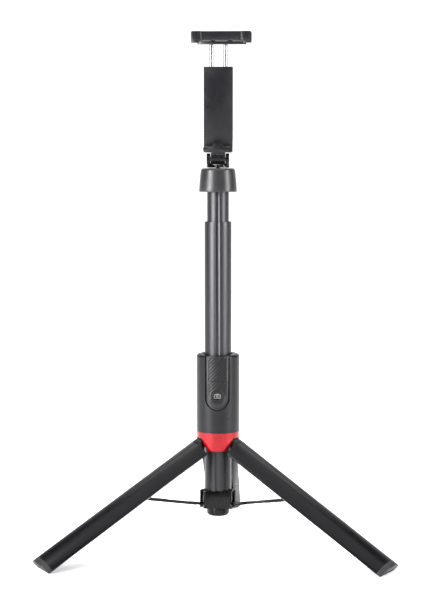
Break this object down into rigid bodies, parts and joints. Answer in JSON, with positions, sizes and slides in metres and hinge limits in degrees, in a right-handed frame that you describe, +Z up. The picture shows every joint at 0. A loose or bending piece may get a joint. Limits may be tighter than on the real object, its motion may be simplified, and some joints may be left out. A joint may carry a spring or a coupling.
{
  "type": "selfie stick",
  "caption": "Telescopic phone stick with sprung phone clamp, slide-out remote in the handle and a built-in folding tripod.",
  "frame": {"origin": "ground point under the pole's centre line, between the three feet", "axes": "+Z up along the pole, -Y the front with the remote, +X to the right seen from the front"},
  "size_m": [0.261, 0.2298, 0.3848],
  "materials": {
    "handle_black": "satin moulded plastic",
    "liner_black": "plain moulded plastic",
    "tube_black": "black anodised, fine lengthwise draw marks",
    "ring_red": "red anodised, satin",
    "leg_black": "black satin coating",
    "knuckle_black": "glass-filled moulded plastic",
    "foot_rubber": "soft matt",
    "strut_black": "black coated pressed steel",
    "hub_black": "semi-gloss",
    "pin_steel": "bright turned steel",
    "spring_steel": "bright spring wire",
    "cap_grey": "dark grey satin",
    "neck_gloss": "gloss black",
    "clamp_black": "fine satin",
    "jaw_pad": "soft grey silicone",
    "remote_black": "satin with slanting grip ribs",
    "button_black": "semi-gloss",
    "board_green": "solder mask",
    "cell_steel": "nickel-plated"
  },
  "bodies": {
    "root": {"handle_shell": "handle_black", "handle_liner": "liner_black", "leg_ring": "ring_red", "leg_pins": "pin_steel", "ring_screws": "pin_steel"},
    "pole": {"tube_1": "tube_black", "tube_collar_1": "liner_black", "spreader_hub": "hub_black", "hub_pins": "pin_steel", "end_plug": "hub_black", "end_screw": "pin_steel"},
    "mast_2": {"tube_2": "tube_black", "tube_bush_2": "liner_black", "tube_collar_2": "liner_black"},
    "mast_3": {"tube_3": "tube_black", "tube_bush_3": "liner_black", "tube_collar_3": "liner_black"},
    "mast_4": {"tube_4": "tube_black", "tube_bush_4": "liner_black", "head_cap": "cap_grey", "head_plug": "liner_black"},
    "neck": {"neck_fork": "neck_gloss", "tilt_bolt": "pin_steel", "tilt_nut": "pin_steel", "swivel_screw": "pin_steel"},
    "clamp": {"clamp_body": "clamp_black", "clamp_back_cover": "clamp_black", "clamp_screws": "pin_steel", "lower_jaw_pad": "jaw_pad"},
    "jaw": {"upper_jaw": "clamp_black", "upper_jaw_pads": "jaw_pad", "guide_rods": "pin_steel", "clamp_springs": "spring_steel"},
    "remote": {"remote_back": "remote_black", "remote_front_cover": "remote_black", "remote_battery_cover": "remote_black", "circuit_board": "board_green", "tact_switch": "cell_steel", "coin_battery": "cell_steel"},
    "button": {"shutter_button": "button_black"},
    "leg_1": {"leg_knuckle_1": "knuckle_black", "leg_shell_1": "leg_black", "leg_foot_1": "foot_rubber", "strut_pin_1": "pin_steel"},
    "strut_rod_1": {"strut_1": "strut_black"},
    "strut_end_1": {"strut_eye_1": "strut_black"},
    "leg_2": {"leg_knuckle_2": "knuckle_black", "leg_shell_2": "leg_black", "leg_foot_2": "foot_rubber", "strut_pin_2": "pin_steel"},
    "strut_rod_2": {"strut_2": "strut_black"},
    "strut_end_2": {"strut_eye_2": "strut_black"},
    "leg_3": {"leg_knuckle_3": "knuckle_black", "leg_shell_3": "leg_black", "leg_foot_3": "foot_rubber", "strut_pin_3": "pin_steel"},
    "strut_rod_3": {"strut_3": "strut_black"},
    "strut_end_3": {"strut_eye_3": "strut_black"}
  },
  "joints": [
    {"name": "pole_slide", "type": "slide", "parent": "root", "child": "pole", "axis": [0, 0, 1], "range_m": [-0.08645, 0]},
    {"name": "tube_2_slide", "type": "slide", "parent": "pole", "child": "mast_2", "axis": [0, 0, 1], "range_m": [-0.0333, 0.124]},
    {"name": "tube_3_slide", "type": "slide", "parent": "mast_2", "child": "mast_3", "axis": [0, 0, 1], "range_m": [0, 0.15]},
    {"name": "tube_4_slide", "type": "slide", "parent": "mast_3", "child": "mast_4", "axis": [0, 0, 1], "range_m": [0, 0.145]},
    {"name": "head_swivel", "type": "hinge", "parent": "mast_4", "child": "neck", "pos_m": [0, 0, 0.2854], "axis": [0, 0, 1], "continuous": true},
    {"name": "clamp_tilt", "type": "hinge", "parent": "neck", "child": "clamp", "pos_m": [0, 0, 0.2918], "axis": [1, 0, 0], "range_deg": [-90, 90]},
    {"name": "jaw_slide", "type": "slide", "parent": "clamp", "child": "jaw", "axis": [0, 0, 1], "range_m": [-0.0155, 0.011], "deforming": ["clamp_springs"]},
    {"name": "remote_slide", "type": "slide", "parent": "root", "child": "remote", "axis": [0, 0, 1], "range_m": [0, 0.045]},
    {"name": "shutter_press", "type": "slide", "parent": "remote", "child": "button", "axis": [0, 1, 0], "range_m": [0, 0.0005], "stiffness_N_per_m": 1500, "springref_m": -0.0005},
    {"name": "leg_1_hinge", "type": "hinge", "parent": "root", "child": "leg_1", "pos_m": [0, 0.0127, 0.0827], "axis": [-1, 0, 0], "range_deg": [0, 59.51]},
    {"name": "strut_1_hinge", "type": "hinge", "parent": "leg_1", "child": "strut_rod_1", "pos_m": [0, 0.07431, 0.04641], "axis": [1, 0, 0], "range_deg": [0, 139.02]},
    {"name": "strut_1_end_hinge", "type": "hinge", "parent": "pole", "child": "strut_end_1", "pos_m": [0, 0.0127, 0.035], "axis": [1, 0, 0], "range_deg": [0, 79.52]},
    {"name": "leg_2_hinge", "type": "hinge", "parent": "root", "child": "leg_2", "pos_m": [-0.011, -0.00635, 0.0827], "axis": [0.5, -0.866, 0], "range_deg": [0, 59.51]},
    {"name": "strut_2_hinge", "type": "hinge", "parent": "leg_2", "child": "strut_rod_2", "pos_m": [-0.06435, -0.03715, 0.04641], "axis": [-0.5, 0.866, 0], "range_deg": [0, 139.02]},
    {"name": "strut_2_end_hinge", "type": "hinge", "parent": "pole", "child": "strut_end_2", "pos_m": [-0.011, -0.00635, 0.035], "axis": [-0.5, 0.866, 0], "range_deg": [0, 79.52]},
    {"name": "leg_3_hinge", "type": "hinge", "parent": "root", "child": "leg_3", "pos_m": [0.011, -0.00635, 0.0827], "axis": [0.5, 0.866, 0], "range_deg": [0, 59.51]},
    {"name": "strut_3_hinge", "type": "hinge", "parent": "leg_3", "child": "strut_rod_3", "pos_m": [0.06435, -0.03715, 0.04641], "axis": [-0.5, -0.866, 0], "range_deg": [0, 139.02]},
    {"name": "strut_3_end_hinge", "type": "hinge", "parent": "pole", "child": "strut_end_3", "pos_m": [0.011, -0.00635, 0.035], "axis": [-0.5, -0.866, 0], "range_deg": [0, 79.52]}
  ],
  "couplings": [
    {"joint": "leg_1_hinge", "follows": "pole_slide", "rad_per_m": -12.012},
    {"joint": "strut_1_hinge", "follows": "pole_slide", "rad_per_m": -28.063},
    {"joint": "strut_1_end_hinge", "follows": "pole_slide", "rad_per_m": -16.051},
    {"joint": "leg_2_hinge", "follows": "pole_slide", "rad_per_m": -12.012},
    {"joint": "strut_2_hinge", "follows": "pole_slide", "rad_per_m": -28.063},
    {"joint": "strut_2_end_hinge", "follows": "pole_slide", "rad_per_m": -16.051},
    {"joint": "leg_3_hinge", "follows": "pole_slide", "rad_per_m": -12.012},
    {"joint": "strut_3_hinge", "follows": "pole_slide", "rad_per_m": -28.063},
    {"joint": "strut_3_end_hinge", "follows": "pole_slide", "rad_per_m": -16.051}
  ]
}
